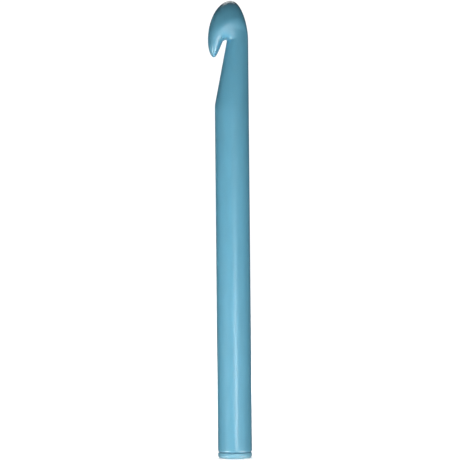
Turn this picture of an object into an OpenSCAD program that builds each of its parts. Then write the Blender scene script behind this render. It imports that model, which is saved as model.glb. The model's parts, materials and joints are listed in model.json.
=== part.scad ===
// Jumbo crochet hook: one hollow plastic moulding with a plug pressed into its butt.
// The hook stands on its butt: Z runs up the shaft to the tip and the lip points to -X.

/* [Overall] */
// Diameter of the shaft
shaft_d = 16; // [15:0.5:19]
// Length from the butt to the tip of the head
hook_l = 216; // [190:1:260]

/* [Shaft] */
// Wall between the bore and the outside of the shaft
wall = 2; // [1.5:0.25:3]
// Solid length between the end of the bore and the throat
bore_stop = 8; // [3:1:20]
// Rounding of the shaft's rim at the plug
rim_r = 0.5; // [0.2:0.1:0.8]

/* [Throat and head] */
// Length of the throat, from the shaft to the top of the gap
throat_l = 31; // [26:0.5:35]
// Full angle of the tapered throat
throat_taper = 11.1; // [9.5:0.1:11.5]
// How far the lip stands out past the shaft
overhang = 3; // [2:0.25:4]
// Height of the head above the top of the gap
head_h = 18.3; // [17:0.1:20]
// Height of the lip below the top of the gap
lip_drop = 8.4; // [6:0.1:9]
// Radius of the blunt tip of the head
tip_r = 3; // [2.5:0.1:3.5]
// Radius of the head's crown, below the tip
crown_r = 6.3; // [5.5:0.1:6.8]
// Radius of the head's back, over the spine
back_r = 5.5; // [4.5:0.1:6.5]
// Radius of the lip where it leaves the head
lip_root_r = 4.2; // [3.6:0.1:4.6]
// Radius of the lip half way down
lip_mid_r = 3; // [2.6:0.1:3.3]
// Radius of the end of the lip
lip_tip_r = 0.9; // [0.7:0.1:1.2]
// Depth of the lip, front to back, over its width
lip_depth = 1.4; // [1:0.05:1.5]

/* [End plug] */
// Thickness of the plug's flange
flange_h = 2.8; // [2.6:0.1:4]
// Rounding of the flange's outer corner
corner_r = 1.4; // [0.6:0.1:1.6]
// Length of the spigot inside the bore
spigot_l = 12; // [8:1:20]
// Wall of the hollow spigot
spigot_wall = 1.4; // [1:0.1:2]
// Clearance between the spigot and the bore
spigot_gap = 0.2; // [0.1:0.05:0.3]
// Number of ribs that grip the bore
rib_n = 6; // [3:1:8]
// Width of each rib
rib_w = 1; // [0.6:0.1:1.5]

/* [Hidden] */
$fn = 96;
HULL_FN = 32;
EPS = 0.01;
OVERLAP = 1;
LEAD = 0.6;
// How far the throat's cone runs on inside the head.
THROAT_RUN_ON = 4;
// How far the crown's ball lies below the top of the head.
CROWN_DROP = 1;
// How far the crown and the tip lean to the lip, as shares of the head's own lean.
CROWN_LEAN = 0.75;
TIP_LEAN = 0.33;
// Where the lip's middle ball lies, as a share of the lip's height.
LIP_MID = 0.33;
// How far the end of the lip lies in from the lip's outer side, over its own radius.
LIP_TIP_IN = 3;
shaft_r = shaft_d / 2;
bore_r = shaft_r - wall;
sleeve_r = bore_r - spigot_gap;
gap_top_z = hook_l - head_h;
throat_z = gap_top_z - throat_l;
bore_top_z = throat_z - bore_stop;
spigot_z = flange_h + spigot_l;
lip_u = -shaft_r - overhang;
lip_mid_z = gap_top_z - lip_drop * LIP_MID;
lip_tip_u = lip_u + lip_tip_r * LIP_TIP_IN;
head_u = -overhang / 2;
crown_u = head_u * CROWN_LEAN;
crown_z = hook_l - crown_r - CROWN_DROP;
tip_u = head_u * TIP_LEAN;
throat_top_z = gap_top_z + THROAT_RUN_ON;

// The throat's radius at height z, for a cone that lies along the spine of the shaft.
function throat_r(z) = shaft_r - (z - throat_z) * tan(throat_taper) / 2;

module ball(u, z, r, depth = 1) {
    translate([u, 0, z]) scale([1, depth, 1]) sphere(r, $fn = HULL_FN);
}

// Outline of a round bar from the axis outwards, with its lower rim rounded.
module bar_outline(z0, z1, r, edge_r) {
    translate([0, z0 + edge_r]) square([r, z1 - z0 - edge_r]);
    translate([0, z0]) square([r - edge_r, edge_r + EPS]);
    translate([r - edge_r, z0 + edge_r]) circle(edge_r);
}

// Plain shaft with its rounded rim.
module shaft() {
    rotate_extrude() bar_outline(flange_h, throat_z, shaft_r, rim_r);
}

// Tapered throat: round sections that stay flush with the shaft on the spine side.
module throat() {
    foot_r = shaft_r - EPS;
    top_r = throat_r(throat_top_z);
    hull() {
        translate([0, 0, throat_z - OVERLAP]) cylinder(h = OVERLAP, r = foot_r);
        translate([foot_r - top_r, 0, throat_top_z]) cylinder(h = EPS, r = top_r);
    }
}

// Root of the lip, shared by the head and the lip.
module lip_root() {
    ball(lip_u + lip_root_r, gap_top_z + lip_root_r, lip_root_r, lip_depth);
}

// Blunt bullet-shaped head over the throat and the lip.
module head() {
    hull() {
        ball(tip_u, hook_l - tip_r, tip_r);
        ball(crown_u, crown_z, crown_r);
        ball(head_u, gap_top_z + shaft_r, shaft_r);
        ball(shaft_r - back_r, gap_top_z + back_r, back_r);
        lip_root();
    }
}

// Lip: a beak, deeper than it is wide, that narrows down to its end.
module lip() {
    hull() {
        lip_root();
        ball(lip_u + lip_mid_r, lip_mid_z, lip_mid_r, lip_depth);
        ball(lip_tip_u, gap_top_z - lip_drop + lip_tip_r, lip_tip_r, lip_depth);
    }
}

// Bore for the plug, closed by a domed end before the throat.
module bore() {
    dome_z = bore_top_z - bore_r;
    translate([0, 0, flange_h - EPS]) cylinder(h = dome_z - flange_h + EPS, r = bore_r);
    translate([0, 0, dome_z]) sphere(bore_r);
}

module hook_body() {
    color([0.47, 0.71, 0.81]) difference() {
        union() {
            shaft();
            throat();
            head();
            lip();
        }
        bore();
    }
}

// Thin ribs along the spigot that touch the bore.
module ribs() {
    rib_z = flange_h - EPS;
    intersection() {
        for (i = [0 : rib_n - 1])
            rotate([0, 0, i * 360 / rib_n])
                translate([bore_r - spigot_wall, -rib_w / 2, rib_z])
                    cube([spigot_wall + OVERLAP, rib_w, spigot_l - 2 * LEAD + EPS]);
        translate([0, 0, rib_z]) cylinder(h = spigot_l, r = bore_r);
    }
}

// Flange: flush with the shaft, with a large corner at the butt and a small one at the seam.
module flange() {
    rotate_extrude() union() {
        bar_outline(0, flange_h - rim_r, shaft_r, corner_r);
        translate([0, flange_h]) mirror([0, 1]) bar_outline(0, flange_h - corner_r, shaft_r, rim_r);
    }
}

// Spigot: a hollow sleeve with a chamfered lead at its inner end.
module spigot() {
    inner_r = sleeve_r - spigot_wall;
    rotate_extrude() polygon([
        [inner_r, flange_h - EPS],
        [sleeve_r, flange_h - EPS],
        [sleeve_r, spigot_z - LEAD],
        [sleeve_r - LEAD, spigot_z],
        [inner_r, spigot_z]
    ]);
}

module end_plug() {
    color([0.56, 0.76, 0.84]) union() {
        flange();
        spigot();
        ribs();
    }
}

hook_body();
end_plug();
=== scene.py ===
import json
import math

import bmesh
import bpy
import numpy as np
from mathutils import Euler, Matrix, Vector

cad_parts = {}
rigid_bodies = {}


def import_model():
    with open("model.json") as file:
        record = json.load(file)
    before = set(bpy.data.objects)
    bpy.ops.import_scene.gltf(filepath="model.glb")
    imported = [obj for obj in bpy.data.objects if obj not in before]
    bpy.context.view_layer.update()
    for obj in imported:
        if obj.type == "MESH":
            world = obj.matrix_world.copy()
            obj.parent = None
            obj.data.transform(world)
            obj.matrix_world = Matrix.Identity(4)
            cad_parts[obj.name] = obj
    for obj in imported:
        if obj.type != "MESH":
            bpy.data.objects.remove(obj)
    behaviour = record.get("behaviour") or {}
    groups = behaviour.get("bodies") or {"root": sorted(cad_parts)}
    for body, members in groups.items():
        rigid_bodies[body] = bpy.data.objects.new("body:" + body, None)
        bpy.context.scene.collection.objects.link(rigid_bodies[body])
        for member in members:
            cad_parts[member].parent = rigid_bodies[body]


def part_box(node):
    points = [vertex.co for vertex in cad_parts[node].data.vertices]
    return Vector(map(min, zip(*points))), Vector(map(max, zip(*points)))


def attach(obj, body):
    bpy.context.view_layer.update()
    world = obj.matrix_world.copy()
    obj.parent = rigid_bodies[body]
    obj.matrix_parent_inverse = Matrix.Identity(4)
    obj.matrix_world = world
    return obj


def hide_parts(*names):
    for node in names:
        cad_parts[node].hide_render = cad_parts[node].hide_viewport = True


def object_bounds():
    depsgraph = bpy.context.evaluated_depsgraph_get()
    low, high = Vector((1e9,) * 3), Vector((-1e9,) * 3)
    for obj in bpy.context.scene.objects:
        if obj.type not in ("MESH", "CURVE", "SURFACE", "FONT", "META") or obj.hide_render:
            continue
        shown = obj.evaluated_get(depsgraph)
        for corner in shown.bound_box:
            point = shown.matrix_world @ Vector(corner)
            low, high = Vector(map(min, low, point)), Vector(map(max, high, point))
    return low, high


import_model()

# Shapes are worked out in millimetres and scaled to metres when a mesh is made.
MM = 0.001
ROOT = "root"

CAD_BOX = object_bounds()
body_low, body_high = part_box("hook_body")
plug_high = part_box("end_plug")[1]

# ---------------------------------------------------------------- sizes from the frame
SHAFT_R = body_high.x / MM
LIP_OUT = -body_low.x / MM
SEAM_Z = body_low.z / MM
TIP_Z = body_high.z / MM
SPIGOT_TOP_Z = plug_high.z / MM

# ---------------------------------------------------------------- sizes of the moulding
HEAD_H = 18.3
THROAT_L = 31.0
GAP_Z = TIP_Z - HEAD_H
THROAT_Z = GAP_Z - THROAT_L
THROAT_TAPER = math.radians(11.1)
THROAT_SLOPE = math.tan(THROAT_TAPER) / 2
THROAT_SOFTNESS = 0.6
WALL = 2.0
BORE_R = SHAFT_R - WALL
BORE_STOP = 8.0
# Rounding of the bore's mouth: how far out and how far up its points lie.
BORE_LEAD = ((0.35, 0.0), (0.2, 0.05), (0.0, 0.35))
# Rims at the seam: their rounding, and the moulding's tilted band above its rim.
RIM_R = 0.35
RIM_BAND = 0.45
RIM_TILT = math.radians(14)
# Seam: half its width, its depth, and the step at its floor.
SEAM_GAP = 0.15
SEAM_DEPTH = 1.3
SEAM_STEP = 0.1
# Parting line: its height, and where it starts above the seam.
PARTING_H = 0.03
PARTING_START = 1.2

# Head: an ogive on both sides. The neck widens into it over a few millimetres.
SPINE_POWER = 1.7
LIP_POWER = 1.9
HEAD_WIDTH = (SHAFT_R + LIP_OUT) / 2
HEAD_DEPTH = 8.0
NECK_WIDE = (-0.5, 5.8)
NECK_DEEP = (-0.5, 10.3)

# The throat and the head are a little egg-shaped in section, with the blunt end to the lip.
EGG = 0.14
EGG_START = -24.0

# Web: the flesh that rounds off the top of the gap.
WEB_X = -3.0
WEB_H = 3.4
WEB_WIDTH = 3.2
WEB_DEPTH = 4.2
WEB_HEIGHT = 3.5

# Lip: a beak that hangs from the head, curls outwards and thickens as it joins the head.
LIP_DROP = 8.3
LIP_SPREAD = 1.63
LIP_X = -8.3
LIP_ROOT_R = math.sqrt(LIP_SPREAD * LIP_DROP)
LIP_ROOT_X = LIP_ROOT_R - LIP_OUT
LIP_CURL = (LIP_ROOT_X - LIP_X) / LIP_DROP ** 2
LIP_GROWTH = 0.015
LIP_DEPTH = 1.45
LIP_BLUNTNESS = 0.12

# How softly the surfaces flow into each other: at the parting plane and on the faces, which
# begin FACE_START from the plane.
FACE_START = 4.0
THROAT_BLEND = 1.0
LIP_BLEND = 1.4
FACE_BLEND = 2.4
CROWN_BLEND = 2.5
CROWN_BLEND_AT_EDGE = 0.02
# The crown's outline changes from the spine's to the lip's over this distance.
CROWN_SIDE_FADE = 4.0

# Plug: the flange's corner, then the spigot and its ribs.
CORNER_R = 1.4
SPIGOT_CLEARANCE = 0.2
SPIGOT_WALL = 1.4
LEAD = 0.6
ROOT_FILLET = 0.3
MOUTH_ROUND = 0.2
FLOOR_FILLET = 0.4
RIBS = 6
RIB_W = 1.0
RIB_CLEARANCE = 0.01
SLEEVE_R = BORE_R - SPIGOT_CLEARANCE

# How far wear reaches, and how strong it is where it is less than full.
RIM_WEAR_REACH = 1.1
BEAK_WEAR = 0.8
BEAK_WEAR_REACH = 4.5
TIP_WEAR = 0.6
TIP_WEAR_REACH = 3.0
CORNER_WEAR_REACH = 1.6
PLUG_RIM_WEAR_REACH = 0.8

# ---------------------------------------------------------------- mesh density
RING = 16
LEVELS = 3
AROUND = RING * 2 ** LEVELS
RIM_STEPS = 6
CORNER_STEPS = 10
# The dome's last ring is this many degrees up its arc, and a pole closes it.
DOME_STEPS = 10
DOME_END = 84
SHAFT_ROWS = 9
# Rows of vertices close to the rim's band: heights above it, and shares of its own height.
ROWS_OVER_BAND = (4.0, 1.5, 0.3, 0.05)
ROWS_IN_BAND = (0.15, 0.5, 0.85)

# The cage's rings: heights over the gap's top in the head and the lip, shares of the throat's
# length in the throat, and depths below the throat in the shaft.
PARTING_RING = 3.0
HEAD_RINGS = (5.5, 8.0, 10.5, 12.8, 14.8, 16.4, 17.5)
THROAT_RINGS = (0.95, 0.85, 0.7, 0.5, 0.3, 0.13, 0.0)
LIP_RINGS = (-0.5, -2.2, -4.0, -5.8, -7.1, -7.9)
SHAFT_RING = 5.0
CAGE_FOOT = 14.0
TIP_X = -0.3
# The cage parts into throat and lip over the gap, along a saddle.
SADDLE_X = -2.7
SADDLE_DEPTH = 4.5
SADDLE_RISE = 1.8
# The cage's depth: its fall towards the tip, and its growth with the height.
CAGE_POWER = 1.8
CAGE_DEPTH = (0.7, 0.04)

# Tolerances in millimetres: on a plane, and on the outer surface.
ON_PLANE = 1e-4
ON_SURFACE = 0.05


# ================================================================ the moulding's surface
def smooth_union(a, b, width):
    """The smaller of two distances, with a fillet where they meet."""
    near = np.maximum(width - np.abs(a - b), 0.0)
    return np.minimum(a, b) - near * near / (4.0 * width)


def soft_ramp(value, softness):
    """The value where it is well above zero, nothing well below, and a curve between."""
    return (value + np.sqrt(value * value + softness * softness)) / 2


def spine_outline(h):
    """Where the spine side lies at height h above the gap's top."""
    return SHAFT_R * np.sqrt(1.0 - np.clip(h / HEAD_H, 0.0, 1.0) ** SPINE_POWER)


def lip_outline(h):
    """Where the lip side lies at height h above the gap's top."""
    return -LIP_OUT * np.sqrt(1.0 - np.clip(h / HEAD_H, 0.0, 1.0) ** LIP_POWER)


def smooth_step(h, start, end):
    t = np.clip((h - start) / (end - start), 0.0, 1.0)
    return t * t * (3.0 - 2.0 * t)


def bar(x, y, z):
    """Shaft, tapering throat and widening neck, all flush along the spine."""
    h = z - GAP_Z
    radius = SHAFT_R - THROAT_SLOPE * soft_ramp(z - THROAT_Z, THROAT_SOFTNESS)
    width = radius + (HEAD_WIDTH - radius) * smooth_step(h, *NECK_WIDE)
    depth = radius + (HEAD_DEPTH - radius) * smooth_step(h, *NECK_DEEP)
    across = (x - (SHAFT_R - width)) / width
    egg = 1.0 - EGG * smooth_step(h, EGG_START, 0.0) * np.clip(across, -1.0, 1.0)
    reach = np.hypot(across, y / (depth * egg))
    return (reach - 1.0) * np.minimum(width, depth)


def crown(x, y, z):
    """The bullet-shaped limit of the head, wider towards the lip and open below."""
    up = (z - GAP_Z) / HEAD_H
    middle = (SPINE_POWER + LIP_POWER) / 2
    power = middle - (middle - SPINE_POWER) * np.tanh(x / CROWN_SIDE_FADE)
    width = np.where(x > 0, SHAFT_R, LIP_OUT)
    egg = 1.0 - EGG * np.clip((x - SHAFT_R + HEAD_WIDTH) / HEAD_WIDTH, -1.0, 1.0)
    deep = HEAD_DEPTH * egg
    reach = (x / width) ** 2 + (y / deep) ** 2 + np.sign(up) * np.abs(up) ** power
    return (np.sqrt(np.maximum(reach, 0.0)) - 1.0) * SHAFT_R


def web(x, y, z):
    """The flesh above the gap."""
    reach = (
        ((x - WEB_X) / WEB_WIDTH) ** 2
        + (y / WEB_DEPTH) ** 2
        + ((z - GAP_Z - WEB_H) / WEB_HEIGHT) ** 2
    )
    return (np.sqrt(reach) - 1.0) * WEB_HEIGHT


def lip(x, y, z):
    """The beak. Above the gap it keeps to the head's outline and swings over to the spine."""
    h = z - GAP_Z
    below = np.maximum(h + LIP_DROP, 0.0)
    above = np.maximum(h, 0.0)
    root_slope = LIP_SPREAD / (2 * LIP_ROOT_R)
    root_radius = LIP_ROOT_R + root_slope * above + LIP_GROWTH * above ** 2
    radius2 = np.where(h < 0, LIP_SPREAD * (h + LIP_DROP), root_radius ** 2)
    centre = np.where(h < 0, LIP_X + LIP_CURL * below ** 2, lip_outline(h) + root_radius)
    spread = np.where(h < 0, LIP_SPREAD, 2 * root_radius * (root_slope + 2 * LIP_GROWTH * above))
    # The beak thins less from front to back than it does seen from the front.
    deeper = LIP_DEPTH * np.clip(below / LIP_DROP, 0.01, 1.0) ** -LIP_BLUNTNESS
    reach2 = (x - centre) ** 2 + (y / deeper) ** 2
    return (reach2 - radius2) / np.sqrt(4.0 * reach2 + spread ** 2)


def moulding(points):
    """Signed distance, nearly, from the hook's outer surface."""
    x, y, z = points[:, 0], points[:, 1], points[:, 2]
    faces = np.clip(np.abs(y) / FACE_START, 0.0, 1.0) ** 2
    at_throat = THROAT_BLEND + (FACE_BLEND - THROAT_BLEND) * faces
    at_lip = LIP_BLEND + (FACE_BLEND - LIP_BLEND) * faces
    body = smooth_union(bar(x, y, z), web(x, y, z), at_throat)
    body = smooth_union(body, lip(x, y, z), at_lip)
    # The crown's softness fades out at the outline, where the surfaces are flush.
    edge = np.where(x > 0, spine_outline(z - GAP_Z), -lip_outline(z - GAP_Z))
    off_edge = 1.0 - np.clip(np.abs(x) / np.maximum(edge, 0.1), 0.0, 1.0) ** 2
    top = CROWN_BLEND * np.maximum(off_edge, CROWN_BLEND_AT_EDGE)
    return -smooth_union(-body, -crown(x, y, z), top)


def gradient(points):
    step = 0.01
    slopes = []
    for axis in range(3):
        shift = np.zeros(3)
        shift[axis] = step
        slopes.append((moulding(points + shift) - moulding(points - shift)) / (2 * step))
    return np.stack(slopes, axis=1)


def project(points, rounds=6):
    """Moves points along the gradient until they lie on the surface."""
    longest_move = 0.6
    flattest_slope2 = 0.05
    for _ in range(rounds):
        slope = gradient(points)
        size2 = np.maximum((slope * slope).sum(axis=1), flattest_slope2)
        move = moulding(points)[:, None] * slope / size2[:, None]
        length = np.linalg.norm(move, axis=1, keepdims=True)
        points = points - move * np.minimum(1.0, longest_move / np.maximum(length, 1e-9))
    return points


# ================================================================ the cage of the head
def ring_points(centre_x, z, half_x, half_y, angles):
    """A flat oval ring."""
    return [(centre_x + half_x * math.cos(a), half_y * math.sin(a), z) for a in angles]


def even_angles():
    return [2 * math.pi * k / RING for k in range(RING)]


def join_rings(faces, lower, upper):
    """Quads between two rings of vertex numbers."""
    for k in range(len(lower)):
        n = (k + 1) % len(lower)
        faces.append((lower[k], lower[n], upper[n], upper[k]))


def close_ring(faces, ring, pole, upwards):
    for k in range(len(ring)):
        n = (k + 1) % len(ring)
        faces.append((ring[k], ring[n], pole) if upwards else (ring[n], ring[k], pole))


def head_cage(base_z):
    """The head, throat and lip as one branched cage of rings, open at base_z."""
    points, faces = [], []

    def add(new):
        first = len(points)
        points.extend(new)
        return list(range(first, len(points)))

    def head_ring(h):
        t = h / HEAD_H
        right = SHAFT_R * math.sqrt(1 - t ** SPINE_POWER)
        left = -LIP_OUT * math.sqrt(1 - t ** LIP_POWER)
        growth = min(1.0, CAGE_DEPTH[0] + CAGE_DEPTH[1] * h)
        deep = HEAD_DEPTH * math.sqrt(1 - t ** CAGE_POWER) * growth
        split = SADDLE_X * (1 - t)
        return [
            (split + (right - split if math.cos(a) > 0 else split - left) * math.cos(a),
             deep * math.sin(a), GAP_Z + h)
            for a in even_angles()
        ]

    # The ring where throat and lip part. Vertices at the front and back lie over the gap.
    quarter = RING // 4
    parting = add(head_ring(PARTING_RING))

    # The saddle over the gap runs from the back of that ring to its front.
    saddle_n = RING // 2 - 1
    saddle = []
    for k in range(1, saddle_n + 1):
        across = math.cos(math.pi * k / (saddle_n + 1))
        saddle.append((SADDLE_X, SADDLE_DEPTH * across, GAP_Z + SADDLE_RISE * across * across))
    saddle = add(saddle)
    back, front = quarter, 3 * quarter

    above_throat = [parting[k] for k in range(RING)]
    above_lip = [parting[k] for k in range(RING)]
    for k in range(1, saddle_n + 1):
        above_throat[back + k] = saddle[k - 1]
        above_lip[(front + k) % RING] = saddle[saddle_n - k]

    upper = parting
    for h in HEAD_RINGS:
        ring = add(head_ring(h))
        join_rings(faces, upper, ring)
        upper = ring
    tip = add([(TIP_X, 0.0, TIP_Z)])[0]
    close_ring(faces, upper, tip, True)

    upper = above_throat
    throat_heights = [THROAT_Z + THROAT_L * share for share in THROAT_RINGS]
    for z in throat_heights + [THROAT_Z - SHAFT_RING, base_z]:
        radius = SHAFT_R - THROAT_SLOPE * max(z - THROAT_Z, 0.0)
        ring = add(ring_points(SHAFT_R - radius, z, radius, radius, even_angles()))
        join_rings(faces, ring, upper)
        upper = ring

    upper = above_lip
    for h in LIP_RINGS:
        drop = h + LIP_DROP
        radius = math.sqrt(LIP_SPREAD * drop)
        centre = LIP_X + LIP_CURL * drop * drop
        ring = add(ring_points(centre, GAP_Z + h, radius, radius, even_angles()))
        join_rings(faces, ring, upper)
        upper = ring
    beak = add([(LIP_X, 0.0, GAP_Z - LIP_DROP)])[0]
    close_ring(faces, upper, beak, False)
    return points, faces


def subdivided(points, faces, levels):
    """Catmull-Clark subdivision of a cage, as arrays of points and faces."""
    mesh = bpy.data.meshes.new("cage")
    mesh.from_pydata(points, [], faces)
    cage = bpy.data.objects.new("cage", mesh)
    bpy.context.scene.collection.objects.link(cage)
    modifier = cage.modifiers.new("smooth", "SUBSURF")
    modifier.levels = levels
    modifier.render_levels = levels
    graph = bpy.context.evaluated_depsgraph_get()
    fine = bpy.data.meshes.new_from_object(cage.evaluated_get(graph), depsgraph=graph)
    places = np.array([v.co for v in fine.vertices])
    polygons = [tuple(p.vertices) for p in fine.polygons]
    edges = np.array([tuple(e.vertices) for e in fine.edges])
    for block in (cage, mesh, fine):
        (bpy.data.objects if block is cage else bpy.data.meshes).remove(block)
    return places, polygons, edges


def relaxed(places, edges, fixed, rounds=30):
    """Evens out the points' spacing while they stay on the surface."""
    counts = np.bincount(edges.ravel(), minlength=len(places))[:, None]
    for _ in range(rounds):
        total = np.zeros_like(places)
        np.add.at(total, edges[:, 0], places[edges[:, 1]])
        np.add.at(total, edges[:, 1], places[edges[:, 0]])
        moved = places + 0.5 * (total / counts - places)
        moved[fixed] = places[fixed]
        places = project(moved, 2)
        places[fixed] = moved[fixed]
    return places


# ================================================================ mesh helpers
def arc(centre_r, centre_z, radius, start, end, steps):
    """Points (r, z) along a quarter round or any other arc, angles in degrees."""
    result = []
    for k in range(steps + 1):
        a = math.radians(start + (end - start) * k / steps)
        result.append((centre_r + radius * math.cos(a), centre_z + radius * math.sin(a)))
    return result


def fade(distance, reach):
    """One at no distance, nothing at the reach and beyond."""
    return 1.0 - np.clip(distance / reach, 0.0, 1.0)


def finish_mesh(name, bm, material, wear):
    """Makes the piece: wear, metres, outward normals, smooth shading, material and ride."""
    places = np.array([v.co for v in bm.verts])
    worn = wear(places[:, 0], places[:, 1], places[:, 2])
    bmesh.ops.scale(bm, vec=(MM, MM, MM), verts=bm.verts)
    bmesh.ops.recalc_face_normals(bm, faces=bm.faces)
    for face in bm.faces:
        face.smooth = True
    mesh = bpy.data.meshes.new(name)
    bm.to_mesh(mesh)
    bm.free()
    mesh.attributes.new("wear", "FLOAT", "POINT").data.foreach_set("value", worn)
    mesh.materials.append(material)
    piece = bpy.data.objects.new(name, mesh)
    bpy.context.scene.collection.objects.link(piece)
    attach(piece, ROOT)
    return piece


# ================================================================ the pieces
def shaft_profile(base_z):
    """(r, z) down the shaft, round its rim, up the bore and over the bore's dome."""
    bore_top = THROAT_Z - BORE_STOP
    dome_z = bore_top - BORE_R
    rim_z = SEAM_Z + SEAM_GAP + RIM_R
    band_z = rim_z + RIM_BAND
    band_in = RIM_BAND * math.tan(RIM_TILT)
    shares = [k / SHAFT_ROWS for k in range(1, SHAFT_ROWS)]
    down = [(SHAFT_R, base_z + (band_z - base_z) * f) for f in shares]
    down += [(SHAFT_R, band_z + above) for above in ROWS_OVER_BAND]
    down += [(SHAFT_R - band_in * f, band_z - RIM_BAND * f) for f in ROWS_IN_BAND]
    rim = arc(SHAFT_R - band_in - RIM_R, rim_z, RIM_R, 0, -90, RIM_STEPS)
    seam = [
        (SHAFT_R - SEAM_DEPTH, SEAM_Z + SEAM_GAP),
        (SHAFT_R - SEAM_DEPTH - SEAM_STEP, SEAM_Z),
    ]
    lead = [(BORE_R + out, SEAM_Z + up) for out, up in BORE_LEAD]
    bore = [(BORE_R, SEAM_Z + (dome_z - SEAM_Z) * f) for f in shares]
    dome = arc(0.0, dome_z, BORE_R, 0, DOME_END, DOME_STEPS)
    return down + rim + seam + lead + bore + dome, bore_top


def hook_wear(x, y, z):
    """Rubbed places: the rim at the seam, the end of the beak and the tip of the head."""
    beak = np.sqrt((x - LIP_X) ** 2 + y ** 2 + (z - GAP_Z + LIP_DROP) ** 2)
    outside = np.hypot(x, y) > SHAFT_R - SEAM_DEPTH
    at_rim = fade(np.abs(z - SEAM_Z), RIM_WEAR_REACH) * outside
    at_beak = BEAK_WEAR * fade(beak, BEAK_WEAR_REACH)
    at_tip = TIP_WEAR * fade(TIP_Z - z, TIP_WEAR_REACH)
    return np.maximum(np.maximum(at_rim, at_beak), at_tip)


def plug_wear(x, y, z):
    """Rubbed places: the flange's corner and its rim at the seam."""
    corner = np.hypot(np.hypot(x, y) - SHAFT_R, z)
    rim = np.hypot(np.hypot(x, y) - SHAFT_R, z - SEAM_Z)
    return np.maximum(fade(corner, CORNER_WEAR_REACH), fade(rim, PLUG_RIM_WEAR_REACH))


def raise_parting_line(bm):
    """A hair-thin ridge where the mould's halves met, on the outside, along y = 0."""
    start_z = SEAM_Z + PARTING_START
    ridge = [v for v in bm.verts if abs(v.co.y) < ON_PLANE and v.co.z > start_z]
    places = np.array([v.co for v in ridge])
    outside = np.abs(moulding(places)) < ON_SURFACE
    ridge = [v for v, on in zip(ridge, outside) if on]
    places = places[outside]
    out = gradient(places)
    out /= np.linalg.norm(out, axis=1, keepdims=True)
    for vert, direction in zip(ridge, out):
        vert.co += Vector(direction) * PARTING_H


def moulded_head(base_z):
    """The head, throat and lip laid on the surface, with an evenly spaced ring at base_z."""
    cage_points, cage_faces = head_cage(base_z)
    places, polygons, edges = subdivided(cage_points, cage_faces, LEVELS)
    on_base = np.abs(places[:, 2] - base_z) < ON_PLANE
    angles = np.arctan2(places[on_base, 1], places[on_base, 0])
    steps = np.round(angles / (2 * math.pi / AROUND))
    places = project(places)
    even = steps * (2 * math.pi / AROUND)
    places[on_base] = np.stack(
        [SHAFT_R * np.cos(even), SHAFT_R * np.sin(even), np.full(len(even), base_z)], axis=1
    )
    return relaxed(places, edges, on_base), polygons, np.nonzero(on_base)[0]


def make_hook_body(material):
    """Head, throat and lip, then the shaft, its rim, the bore and the bore's dome."""
    base_z = THROAT_Z - CAGE_FOOT
    places, polygons, on_base = moulded_head(base_z)
    bm = bmesh.new()
    verts = [bm.verts.new(p) for p in places]
    for polygon in polygons:
        bm.faces.new([verts[i] for i in polygon])

    ring = sorted(on_base, key=lambda i: math.atan2(places[i][1], places[i][0]))
    upper = [verts[i] for i in ring]
    directions = [(v.co.x / SHAFT_R, v.co.y / SHAFT_R) for v in upper]
    profile, bore_top = shaft_profile(base_z)
    for r, z in profile:
        lower = [bm.verts.new((r * dx, r * dy, z)) for dx, dy in directions]
        for k in range(AROUND):
            n = (k + 1) % AROUND
            bm.faces.new((upper[k], lower[k], lower[n], upper[n]))
        upper = lower
    pole = bm.verts.new((0.0, 0.0, bore_top))
    for k in range(AROUND):
        bm.faces.new((upper[k], pole, upper[(k + 1) % AROUND]))
    raise_parting_line(bm)
    piece = finish_mesh("hook_moulding", bm, material, hook_wear)
    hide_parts("hook_body")


def make_end_plug(material):
    """Flange and hollow spigot with grip ribs, turned round the axis."""
    inner_r = SLEEVE_R - SPIGOT_WALL
    outer = arc(SHAFT_R - CORNER_R, CORNER_R, CORNER_R, -90, 0, CORNER_STEPS)
    rim = arc(SHAFT_R - RIM_R, SEAM_Z - SEAM_GAP - RIM_R, RIM_R, 0, 90, RIM_STEPS)
    seam = [
        (SHAFT_R - SEAM_DEPTH, SEAM_Z - SEAM_GAP),
        (SHAFT_R - SEAM_DEPTH - SEAM_STEP, SEAM_Z),
    ]
    spigot = [
        (SLEEVE_R + ROOT_FILLET, SEAM_Z),
        (SLEEVE_R, SEAM_Z + ROOT_FILLET),
        (SLEEVE_R, SPIGOT_TOP_Z - 2 * LEAD),
        (SLEEVE_R, SPIGOT_TOP_Z - LEAD),
        (SLEEVE_R - LEAD, SPIGOT_TOP_Z),
        (inner_r + MOUTH_ROUND, SPIGOT_TOP_Z),
        (inner_r, SPIGOT_TOP_Z - MOUTH_ROUND),
        (inner_r, SEAM_Z + FLOOR_FILLET),
        (inner_r - FLOOR_FILLET, SEAM_Z),
        (inner_r / 2, SEAM_Z),
    ]
    # The ribs run along the sleeve's outside, from its second point to its third.
    first = len(outer) + len(rim) + len(seam)
    rib_rows = {first + 1, first + 2}
    profile = outer + rim + seam + spigot
    bm = bmesh.new()
    butt = bm.verts.new((0.0, 0.0, 0.0))
    rings = []
    for row, (r, z) in enumerate(profile):
        ring = []
        for k in range(AROUND):
            a = 2 * math.pi * k / AROUND
            # The sine stands in for the distance round the sleeve to the nearest rib's middle.
            on_rib = abs(math.sin(a * RIBS / 2)) * 2 / RIBS * SLEEVE_R < RIB_W / 2
            reach = BORE_R - RIB_CLEARANCE if row in rib_rows and on_rib else r
            ring.append(bm.verts.new((reach * math.cos(a), reach * math.sin(a), z)))
        rings.append(ring)
    for lower, upper in zip(rings, rings[1:]):
        for k in range(AROUND):
            n = (k + 1) % AROUND
            bm.faces.new((lower[k], lower[n], upper[n], upper[k]))
    floor = bm.verts.new((0.0, 0.0, SEAM_Z))
    for k in range(AROUND):
        n = (k + 1) % AROUND
        bm.faces.new((rings[0][n], rings[0][k], butt))
        bm.faces.new((rings[-1][k], rings[-1][n], floor))
    piece = finish_mesh("butt_plug", bm, material, plug_wear)
    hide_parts("end_plug")


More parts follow.
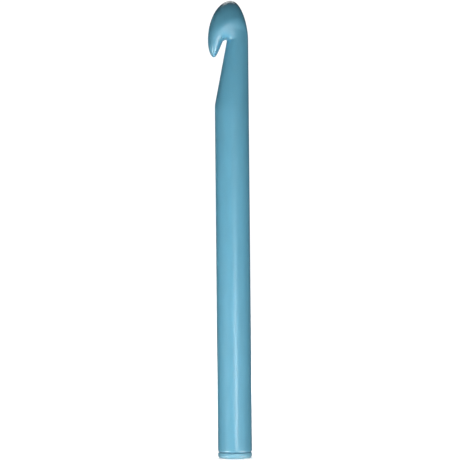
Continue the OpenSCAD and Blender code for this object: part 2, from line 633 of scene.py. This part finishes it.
# ================================================================ materials
# Colour: how far flow marks tint it, and how pale the specks and the scuffs are.
FLOW_TINT = 0.04
SPECK_AMOUNT = 0.10
SPECK_PALER = 1.5
SCUFF_AMOUNT = 0.30
SCUFF_WHITE = 0.35
SCUFF_COLOUR = 0.6
# Roughness of the clean plastic. Smooth patches show outlines below about 0.28.
ROUGHNESS = (0.285, 0.365)
SCRATCH_ROUGHNESS = 0.12
SCUFF_ROUGHNESS = 0.14
# Relief, in metres.
PEEL_HEIGHT = 0.00003
CUT_DEPTH = 0.00001


def node(tree, kind, place, **inputs):
    """A shader node with its sockets set. Names with spaces use underscores."""
    made = tree.nodes.new(kind)
    made.location = place
    for name, value in inputs.items():
        made.inputs[name.replace("_", " ")].default_value = value
    return made


def ramped(tree, value, place, low, high, low_value, high_value):
    """A value carried from one range to another, and held at its ends."""
    made = tree.nodes.new("ShaderNodeMapRange")
    made.location = place
    made.inputs["From Min"].default_value = low
    made.inputs["From Max"].default_value = high
    made.inputs["To Min"].default_value = low_value
    made.inputs["To Max"].default_value = high_value
    tree.links.new(value, made.inputs["Value"])
    return made.outputs["Result"]


def stretched(tree, where, place, scale):
    """Coordinates with a different scale along each axis."""
    made = tree.nodes.new("ShaderNodeMapping")
    made.location = place
    made.inputs["Scale"].default_value = scale
    tree.links.new(where, made.inputs["Vector"])
    return made.outputs["Vector"]


def noise(tree, where, place, **inputs):
    made = node(tree, "ShaderNodeTexNoise", place, **inputs)
    tree.links.new(where, made.inputs["Vector"])
    return made.outputs["Fac"]


def calculated(tree, operation, place, a, b):
    """The sum or product of a socket and another socket or number."""
    made = tree.nodes.new("ShaderNodeMath")
    made.operation = operation
    made.location = place
    tree.links.new(a, made.inputs[0])
    if isinstance(b, float):
        made.inputs[1].default_value = b
    else:
        tree.links.new(b, made.inputs[1])
    return made.outputs["Value"]


def blended(tree, place, amount, base, colour):
    """The base colour, drawn towards another by the amount."""
    made = tree.nodes.new("ShaderNodeMix")
    made.data_type = "RGBA"
    made.location = place
    tree.links.new(amount, made.inputs[0])
    tree.links.new(base, made.inputs[6])
    made.inputs[7].default_value = (*colour, 1)
    return made.outputs[2]


def flow_marks(tree, where, colour, seed):
    """Cloudy flow marks, drawn out along the shaft, that tint the colour slightly."""
    flow = node(
        tree, "ShaderNodeTexNoise", (-1000, 500),
        Scale=1.0, Detail=3.0, Roughness=0.5, Distortion=0.6,
    )
    flow.noise_dimensions = "4D"
    flow.inputs["W"].default_value = seed
    tree.links.new(stretched(tree, where, (-1200, 500), (240, 240, 40)), flow.inputs["Vector"])
    tint = tree.nodes.new("ShaderNodeValToRGB")
    tint.location = (-700, 500)
    tint.color_ramp.interpolation = "EASE"
    ends = ((0.25, 1 - FLOW_TINT), (0.75, 1 + FLOW_TINT))
    for element, (position, level) in zip(tint.color_ramp.elements, ends):
        element.position = position
        element.color = (*[c * level for c in colour], 1)
    tree.links.new(flow.outputs["Fac"], tint.inputs["Fac"])
    return tint.outputs["Color"]


def hair_scratches(tree, where):
    """Hair scratches from use, most of them along the shaft, in some places only."""
    along = stretched(tree, where, (-1200, -100), (7000, 7000, 130))
    lines = noise(tree, along, (-1000, -100), Scale=1.0, Detail=2.0)
    hairs = ramped(tree, lines, (-700, -100), 0.62, 0.70, 0.0, 1.0)
    places = noise(tree, where, (-1000, -300), Scale=45.0, Detail=1.0)
    zone = ramped(tree, places, (-700, -300), 0.45, 0.60, 0.0, 1.0)
    return calculated(tree, "MULTIPLY", (-450, -150), hairs, zone)


def scuffed_edges(tree, where):
    """The mesh's wear values, broken up by a fine noise."""
    wear = node(tree, "ShaderNodeAttribute", (-1000, -600))
    wear.attribute_name = "wear"
    grain = noise(tree, where, (-1000, -800), Scale=1400.0, Detail=4.0)
    broken = ramped(tree, grain, (-700, -800), 0.42, 0.62, 0.15, 1.0)
    return calculated(tree, "MULTIPLY", (-450, -650), wear.outputs["Fac"], broken)


def moulded_plastic(name, colour, seed):
    """Satin moulded plastic: flow marks, specks, scratches, scuffed edges, orange peel."""
    material = bpy.data.materials.new(name)
    material.use_nodes = True
    tree = material.node_tree
    tree.nodes.clear()
    links = tree.links
    output = node(tree, "ShaderNodeOutputMaterial", (1200, 0))
    shader = node(
        tree, "ShaderNodeBsdfPrincipled", (900, 0),
        IOR=1.49, Subsurface_Weight=0.1, Subsurface_Scale=0.0012,
    )
    shader.inputs["Subsurface Radius"].default_value = (0.5, 0.8, 1.0)
    links.new(shader.outputs["BSDF"], output.inputs["Surface"])
    where = node(tree, "ShaderNodeTexCoord", (-1400, 0)).outputs["Object"]
    scratches = hair_scratches(tree, where)
    scuffs = scuffed_edges(tree, where)

    # Colour: the flow marks, then sparse and fine paler specks of pigment, then the scuffs.
    tinted = flow_marks(tree, where, colour, seed)
    pigment = noise(tree, where, (-1000, 200), Scale=2600.0, Detail=1.0)
    specks = ramped(tree, pigment, (-700, 200), 0.68, 0.76, 0.0, SPECK_AMOUNT)
    speck_colour = [min(c * SPECK_PALER, 1.0) for c in colour]
    speckled = blended(tree, (-300, 400), specks, tinted, speck_colour)
    scuff_amount = calculated(tree, "MULTIPLY", (-200, 200), scuffs, SCUFF_AMOUNT)
    scuff_colour = [SCUFF_WHITE + SCUFF_COLOUR * c for c in colour]
    scuffed = blended(tree, (100, 400), scuff_amount, speckled, scuff_colour)
    links.new(scuffed, shader.inputs["Base Color"])

    # Roughness: patches of handling, then the scratches and the scuffs.
    handling = noise(tree, where, (-700, -1000), Scale=90.0, Detail=2.0)
    patches = ramped(tree, handling, (-450, -1000), 0.20, 0.80, *ROUGHNESS)
    by_scratch = calculated(tree, "MULTIPLY", (-200, -300), scratches, SCRATCH_ROUGHNESS)
    by_scuff = calculated(tree, "MULTIPLY", (-200, -600), scuffs, SCUFF_ROUGHNESS)
    rubbed = calculated(tree, "ADD", (100, -500), by_scratch, by_scuff)
    links.new(calculated(tree, "ADD", (300, -500), rubbed, patches), shader.inputs["Roughness"])

    # Relief: orange peel of the moulded skin, then the scratches and scuffs cut into it.
    peel = noise(tree, where, (-200, -900), Scale=700.0, Detail=3.0)
    peel_bump = node(tree, "ShaderNodeBump", (300, -800), Strength=0.10, Distance=PEEL_HEIGHT)
    links.new(peel, peel_bump.inputs["Height"])
    cut = node(tree, "ShaderNodeBump", (600, -600), Strength=0.2, Distance=CUT_DEPTH)
    cut.invert = True
    cuts = calculated(tree, "ADD", (100, -700), scratches, scuffs)
    links.new(cuts, cut.inputs["Height"])
    links.new(peel_bump.outputs["Normal"], cut.inputs["Normal"])
    links.new(cut.outputs["Normal"], shader.inputs["Normal"])
    return material


def pale_floor():
    material = bpy.data.materials.new("studio_floor")
    material.use_nodes = True
    shader = material.node_tree.nodes["Principled BSDF"]
    shader.inputs["Base Color"].default_value = (0.9, 0.9, 0.9, 1)
    shader.inputs["Roughness"].default_value = 0.9
    shader.inputs["Specular IOR Level"].default_value = 0.0
    return material


# ================================================================ studio
# Camera: distance in metres, framing over the hook's height, offsets in millimetres, roll.
CAMERA_DISTANCE = 1.5
FRAME_OVER_HEIGHT = 1.0065
CAMERA_SIDE = -1.4
CAMERA_DROP = 0.27
CAMERA_ROLL = math.radians(-0.535)
# The cards and the lamps turn to the middle and to the lower half of the hook, in metres.
CARD_TARGET = (0, 0, 0.10)
FRONT_TARGET = (0, 0, 0.06)
# The light that the world gives the hook goes from its level below to its level above between
# these heights of a direction, as sines.
WORLD_FADE = (-0.20, -0.06)


def aim(thing, target):
    thing.rotation_euler = (Vector(target) - thing.location).to_track_quat("-Z", "Y").to_euler()


def soft_light(name, place, target, width, height, watts, glossy=True):
    data = bpy.data.lights.new(name, "AREA")
    data.shape = "RECTANGLE"
    data.size = width
    data.size_y = height
    data.energy = watts
    lamp = bpy.data.objects.new(name, data)
    lamp.location = place
    lamp.visible_camera = False
    lamp.visible_glossy = glossy
    bpy.context.scene.collection.objects.link(lamp)
    aim(lamp, target)
    return lamp


def reflected_card(name, azimuth, elevation, width, height, watts):
    """A lamp a metre away that only shows as a reflection. Azimuth 0 is the front."""
    a, e = math.radians(azimuth), math.radians(elevation)
    away = Vector((math.sin(a) * math.cos(e), -math.cos(a) * math.cos(e), math.sin(e)))
    middle = Vector(CARD_TARGET)
    soft_light(name, middle + away, middle, width, height, watts).visible_diffuse = False


def make_world(under, above, backdrop):
    """A white backdrop for the camera, and another level of light for the hook: see WORLD_FADE."""
    world = bpy.data.worlds.new("studio")
    bpy.context.scene.world = world
    world.use_nodes = True
    tree = world.node_tree
    tree.nodes.clear()
    where = node(tree, "ShaderNodeTexCoord", (-900, 0)).outputs["Generated"]
    split = node(tree, "ShaderNodeSeparateXYZ", (-700, 0))
    tree.links.new(where, split.inputs["Vector"])
    level = ramped(tree, split.outputs["Z"], (-400, 0), *WORLD_FADE, under, above)
    lit = node(tree, "ShaderNodeBackground", (0, 0), Color=(1, 1, 1, 1))
    tree.links.new(level, lit.inputs["Strength"])
    seen = node(tree, "ShaderNodeBackground", (0, -200), Color=(1, 1, 1, 1), Strength=backdrop)
    path = node(tree, "ShaderNodeLightPath", (0, 300))
    mix = node(tree, "ShaderNodeMixShader", (300, 0))
    output = node(tree, "ShaderNodeOutputWorld", (600, 0))
    tree.links.new(path.outputs["Is Camera Ray"], mix.inputs["Fac"])
    tree.links.new(lit.outputs["Background"], mix.inputs[1])
    tree.links.new(seen.outputs["Background"], mix.inputs[2])
    tree.links.new(mix.outputs["Shader"], output.inputs["Surface"])


def make_floor():
    bm = bmesh.new()
    bmesh.ops.create_grid(bm, x_segments=8, y_segments=8, size=6.0)
    mesh = bpy.data.meshes.new("studio_floor")
    bm.to_mesh(mesh)
    bm.free()
    mesh.materials.append(pale_floor())
    floor = bpy.data.objects.new("studio_floor", mesh)
    bpy.context.scene.collection.objects.link(floor)
    # The world's light from below stands in for the floor's bounce, which would be too strong.
    floor.visible_diffuse = False
    floor.visible_glossy = False
    floor.visible_shadow = False
    return floor


def light_floor_only(floor, strength):
    """An overhead sun that reaches the floor and nothing else, so that the floor is white."""
    data = bpy.data.lights.new("floor_sun", "SUN")
    data.energy = strength
    data.angle = math.radians(30)
    sun = bpy.data.objects.new("floor_sun", data)
    sun.location = (0, 0, 3)
    bpy.context.scene.collection.objects.link(sun)
    reached = bpy.data.collections.new("floor_only")
    reached.objects.link(floor)
    sun.light_linking.receiver_collection = reached


def make_camera():
    """Level with the hook's middle, square to the parting plane, rolled a touch."""
    low, high = CAD_BOX
    frame_width = (high[2] - low[2]) * FRAME_OVER_HEIGHT
    data = bpy.data.cameras.new("camera")
    data.sensor_width = 36.0
    data.lens = data.sensor_width * CAMERA_DISTANCE / frame_width
    data.clip_start = 0.01
    data.clip_end = 50.0
    camera = bpy.data.objects.new("camera", data)
    middle_z = (low[2] + high[2]) / 2
    camera.location = (CAMERA_SIDE * MM, -CAMERA_DISTANCE, middle_z - CAMERA_DROP * MM)
    look = Euler((math.radians(90), 0, 0)).to_matrix()
    roll = Euler((0, 0, CAMERA_ROLL)).to_matrix()
    camera.rotation_euler = (look @ roll).to_euler()
    bpy.context.scene.collection.objects.link(camera)
    bpy.context.scene.camera = camera


# ================================================================ build
AQUA = (0.138, 0.424, 0.585)
AQUA_PLUG = (0.190, 0.475, 0.622)

make_camera()
make_hook_body(moulded_plastic("aqua_body", AQUA, 0.0))
make_end_plug(moulded_plastic("aqua_plug", AQUA_PLUG, 3.0))

make_world(under=0.62, above=0.0, backdrop=1.1)
light_floor_only(make_floor(), 4.0)
# Place, target, width, height and watts of the lamps that make no reflections.
soft_light("key", (0.01, -0.30, 0.03), FRONT_TARGET, 0.16, 0.05, 0.68, glossy=False)
soft_light("fill", (-0.23, -0.19, 0.03), FRONT_TARGET, 0.16, 0.05, 0.17, glossy=False)
soft_light("back_left", (-0.45, 0.95, 0.35), CARD_TARGET, 0.40, 0.40, 3.0, glossy=False)
soft_light("back_right", (0.45, 0.95, 0.35), CARD_TARGET, 0.40, 0.40, 3.0, glossy=False)
# Azimuth, elevation, width, height and watts of the lamps that only show as reflections.
reflected_card("streak", 13.8, -10, 0.03, 0.10, 1.9)
reflected_card("lip_glint", 54, -36, 0.45, 0.40, 12.0)
reflected_card("rim_left", -58, -31, 0.20, 0.20, 9.0)
reflected_card("rim_wide", 0, -44, 1.80, 0.25, 2.5)
reflected_card("tip_rim", 180, 60, 0.80, 0.40, 7.0)
bpy.context.scene.view_settings.view_transform = "Standard"
